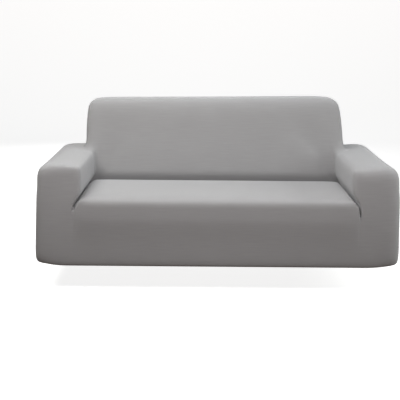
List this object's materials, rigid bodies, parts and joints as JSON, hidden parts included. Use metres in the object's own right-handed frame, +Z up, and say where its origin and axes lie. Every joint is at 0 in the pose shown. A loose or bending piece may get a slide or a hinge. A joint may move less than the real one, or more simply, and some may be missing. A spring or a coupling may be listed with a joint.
{
  "type": "sofa slipcover",
  "caption": "Fitted stretch slipcover in plain grey knit, hollow underneath, shaped over a two-seat sofa with blocky arms and a full-width backrest.",
  "frame": {"origin": "bottom centre of the cover's box, level with the underside of the turned hem; a covered sofa's feet reach about 0.14 m below it", "axes": "+X along the width, to the right as one faces the seat; +Y from the front to the back; +Z up"},
  "size_m": [1.8162, 0.8508, 0.7825],
  "materials": {
    "seat_front": "matte fine stretch knit, mid grey",
    "inside_back": "matte fine stretch knit, mid grey",
    "outside_back": "matte fine stretch knit, mid grey",
    "arm_left": "matte fine stretch knit, mid grey",
    "arm_right": "matte fine stretch knit, mid grey",
    "arm_front_left": "matte fine stretch knit, mid grey",
    "arm_front_right": "matte fine stretch knit, mid grey"
  },
  "bodies": {
    "root": {"seat_front": "seat_front", "inside_back": "inside_back", "outside_back": "outside_back", "arm_left": "arm_left", "arm_right": "arm_right", "arm_front_left": "arm_front_left", "arm_front_right": "arm_front_right"}
  },
  "joints": []
}
